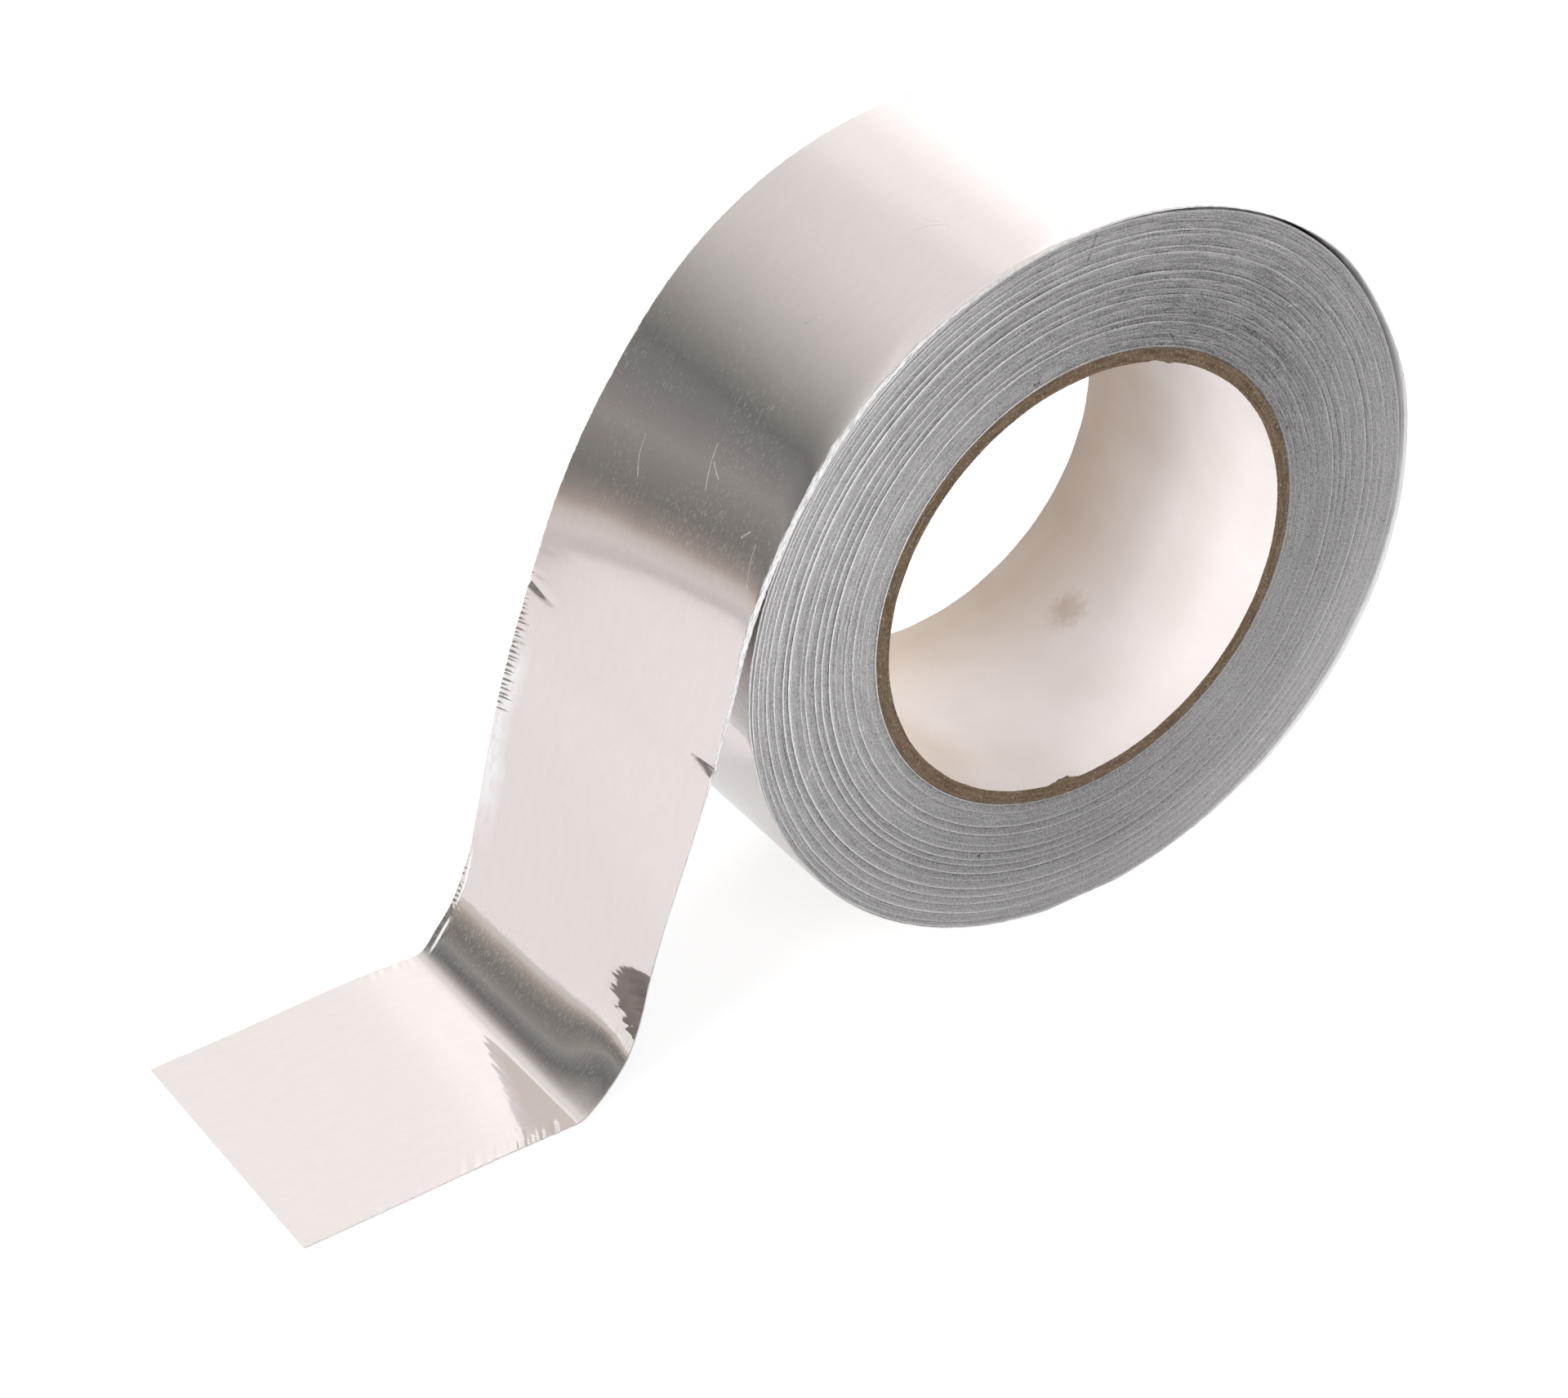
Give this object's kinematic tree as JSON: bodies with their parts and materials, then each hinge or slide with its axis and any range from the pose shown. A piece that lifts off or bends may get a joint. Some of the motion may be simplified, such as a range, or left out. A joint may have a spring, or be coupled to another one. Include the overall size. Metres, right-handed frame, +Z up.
{
  "type": "aluminium foil tape roll",
  "caption": "Roll of aluminium foil tape on a cardboard core, standing on its rim with the free end drawn out and creased flat onto the table.",
  "frame": {"origin": "centre of the core's bore, midway across the tape's width", "axes": "+Y along the roll's axis, +Z up, the free end leads away towards -X"},
  "size_m": [0.2122, 0.0508, 0.1273],
  "materials": {
    "foil": "bright rolled foil with fine scratches, dull slit edges",
    "cardboard": "wound kraft tube with a pale paper lining"
  },
  "bodies": {
    "root": {"foil_tape": "foil", "core": "cardboard"}
  },
  "joints": []
}
